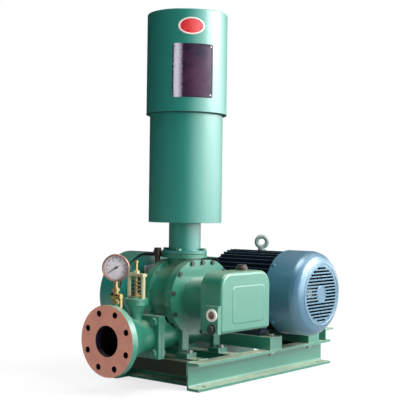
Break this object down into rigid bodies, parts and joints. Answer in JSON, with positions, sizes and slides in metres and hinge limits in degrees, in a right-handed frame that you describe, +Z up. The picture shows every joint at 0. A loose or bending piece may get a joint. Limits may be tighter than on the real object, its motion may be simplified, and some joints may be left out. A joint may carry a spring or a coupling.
{
  "type": "roots blower",
  "caption": "Belt-driven rotary lobe blower on a channel base, with a tall inlet silencer, electric motor, flanged outlet bell, spring relief valve and pressure gauge.",
  "frame": {"origin": "middle of the four anchor holes, on the floor plane under the base frame", "axes": "+X from the blower to the motor, +Y towards the belt guard, +Z up; the outlet faces -X and the gear case and fan cowl face -Y"},
  "size_m": [0.9127, 0.46, 1.104],
  "materials": {
    "teal": "glossy sea-green enamel",
    "dark_teal": "sea-green enamel, worn",
    "motor_blue": "dark navy enamel",
    "cowl_blue": "silver-blue enamel",
    "steel": "zinc plated",
    "machined": "machined",
    "cast": "machined cast iron",
    "rubber": "black rubber",
    "brass": "bright brass",
    "copper_wire": "varnished windings and sheets",
    "dark_plate": "dark bare plate",
    "red_plate": "red bare badge",
    "white_dial": "white dial",
    "pink_bezel": "copper-coloured case",
    "glass": "clear",
    "black": "black",
    "cream": "cream enamel",
    "brown": "dark brown cap",
    "paper": "pleated filter paper",
    "gasket": "gasket sheet"
  },
  "bodies": {
    "blower_set": {"belt_guard": "teal", "blower_beams": "teal", "cable_gland": "black", "casing": "teal", "cover_bolts": "steel", "dark_plate": "dark_plate", "discharge_tee": "teal", "drain_plug": "machined", "drive_belts": "rubber", "drive_end_cover": "teal", "drive_end_plate": "teal", "end_cross_members": "dark_teal", "eye_bolt": "steel", "fan_cowl": "cowl_blue", "filter_element": "paper", "flange_bolts": "steel", "flange_gaskets": "gasket", "front_rail": "teal", "gauge_case": "pink_bezel", "gauge_cock": "brass", "gauge_dial": "white_dial", "gauge_lens": "glass", "gear_case": "teal", "gear_end_plate": "teal", "guard_brackets": "teal", "guard_plate": "teal", "inlet_neck": "teal", "motor_beams": "teal", "motor_end_shields": "motor_blue", "motor_frame": "motor_blue", "motor_stator": "copper_wire", "mounting_bolts": "steel", "oil_caps": "brown", "oval_badge": "red_plate", "rear_rail": "teal", "relief_base": "teal", "relief_spring": "machined", "relief_yoke": "cream", "rotor_bearings": "machined", "shaft_seal": "rubber", "sight_glass": "glass", "sight_glass_ring": "machined", "silencer_hood": "teal", "silencer_shell": "teal", "tension_bracket": "teal", "tension_screws": "steel", "terminal_box": "motor_blue", "terminal_lid": "motor_blue"},
    "drive_rotor_set": {"drive_rotor": "machined", "drive_gear": "machined", "blower_pulley": "cast"},
    "driven_rotor_set": {"driven_rotor": "machined", "driven_gear": "machined"},
    "motor_rotor_set": {"motor_rotor": "cast", "cooling_fan": "black", "motor_pulley": "cast"},
    "relief_valve": {"relief_disc": "machined"},
    "cock_handle": {"cock_lever": "brass"},
    "gauge_needle": {"gauge_pointer": "black"}
  },
  "joints": [
    {"name": "drive_rotor_spin", "type": "hinge", "parent": "blower_set", "child": "drive_rotor_set", "pos_m": [-0.253, 0, 0.252], "axis": [0, 1, 0], "continuous": true},
    {"name": "driven_rotor_spin", "type": "hinge", "parent": "blower_set", "child": "driven_rotor_set", "pos_m": [-0.157, 0, 0.252], "axis": [0, 1, 0], "continuous": true},
    {"name": "motor_spin", "type": "hinge", "parent": "blower_set", "child": "motor_rotor_set", "pos_m": [0.137, 0, 0.252], "axis": [0, 1, 0], "continuous": true},
    {"name": "relief_lift", "type": "slide", "parent": "blower_set", "child": "relief_valve", "axis": [0, 0, 1], "range_m": [0, 0.008], "stiffness_N_per_m": 1500, "springref_m": -0.01, "deforming": ["relief_spring"]},
    {"name": "cock_turn", "type": "hinge", "parent": "blower_set", "child": "cock_handle", "pos_m": [-0.512, -0.011, 0.27], "axis": [0, -1, 0], "range_deg": [0, 90]},
    {"name": "needle_swing", "type": "hinge", "parent": "blower_set", "child": "gauge_needle", "pos_m": [-0.512, -0.011, 0.349], "axis": [0.7716, 0.6361, 0], "range_deg": [-10, 260]}
  ],
  "couplings": [
    {"joint": "drive_rotor_spin", "follows": "motor_spin", "ratio": 0.7},
    {"joint": "driven_rotor_spin", "follows": "motor_spin", "ratio": -0.7}
  ]
}
